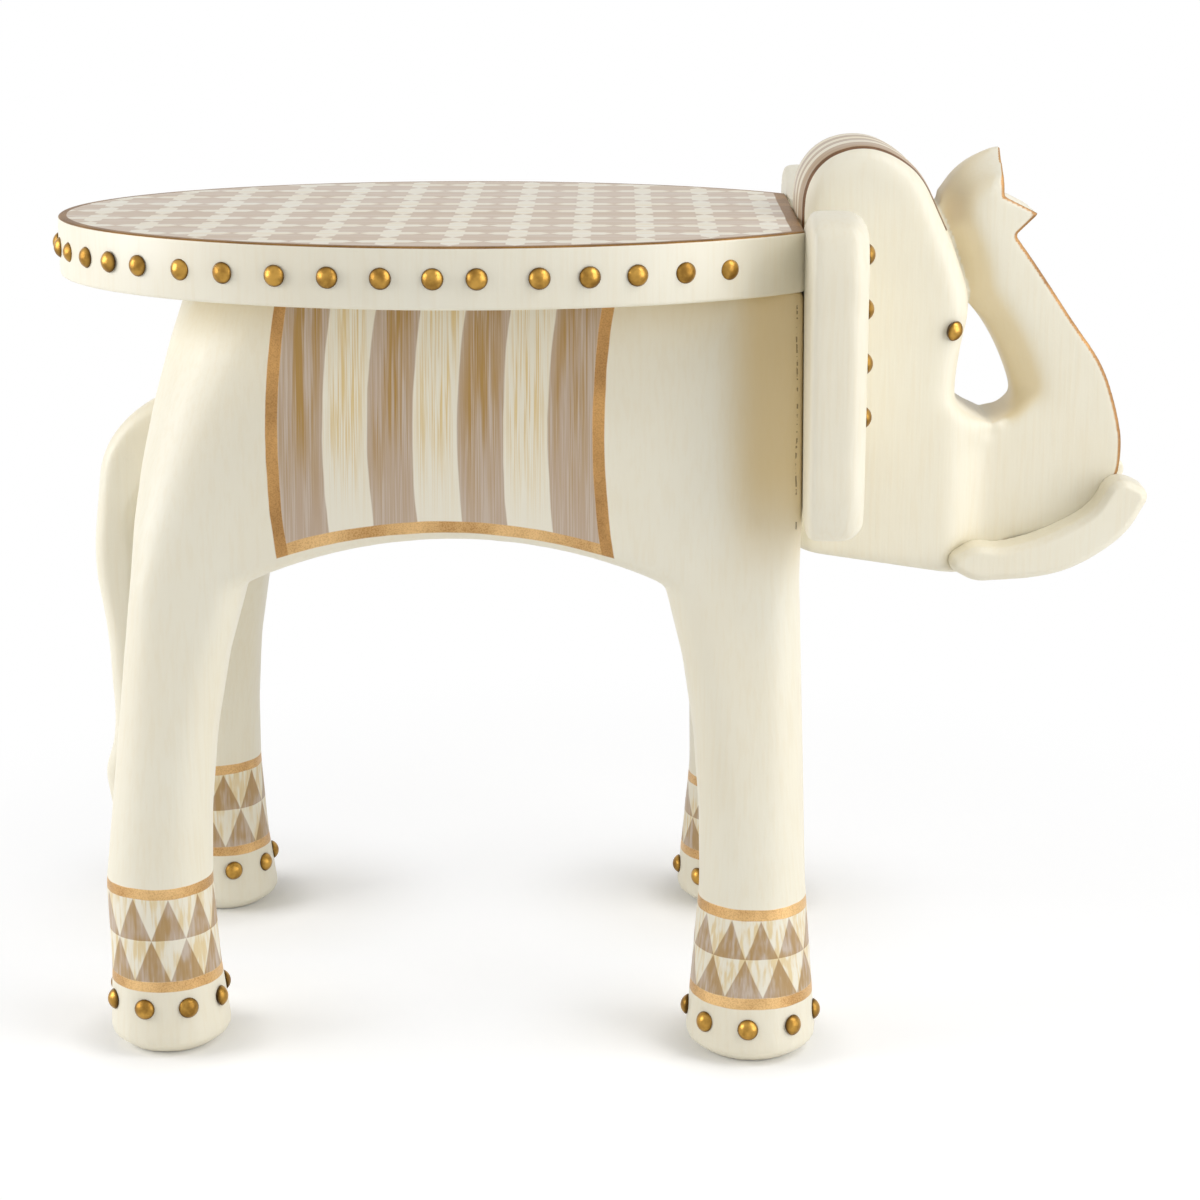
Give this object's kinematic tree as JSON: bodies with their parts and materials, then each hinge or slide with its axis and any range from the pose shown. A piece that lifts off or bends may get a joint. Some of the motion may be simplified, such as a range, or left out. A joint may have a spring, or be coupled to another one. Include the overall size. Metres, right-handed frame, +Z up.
{
  "type": "side table",
  "caption": "Low side table shaped like a standing elephant: an oval top on its back, carved legs, board ears, raised trunk, tusks and tail, trimmed with domed brass nails.",
  "frame": {"origin": "on the floor, under the middle of the overall length and width", "axes": "+X towards the trunk, +Y to the elephant's left side, +Z up"},
  "size_m": [0.6206, 0.3278, 0.499],
  "materials": {
    "top_paint": "satin paint",
    "body_paint": "satin paint",
    "nail_brass": "aged satin",
    "tenon_wood": "bare"
  },
  "bodies": {
    "root": {"tabletop": "top_paint", "torso": "body_paint", "head": "body_paint", "ear_left": "body_paint", "ear_right": "body_paint", "trunk": "body_paint", "tusk_left": "body_paint", "tusk_right": "body_paint", "tail": "body_paint", "leg_front_left": "body_paint", "leg_front_right": "body_paint", "leg_rear_left": "body_paint", "leg_rear_right": "body_paint", "rim_nails": "nail_brass", "ear_nails": "nail_brass", "eye_nails": "nail_brass", "foot_nails": "nail_brass", "tabletop_tenons": "tenon_wood", "leg_tenons": "tenon_wood", "head_tenon": "tenon_wood", "ear_tenons": "tenon_wood", "trunk_tenon": "tenon_wood", "tusk_tenons": "tenon_wood", "tail_tenon": "tenon_wood"}
  },
  "joints": []
}
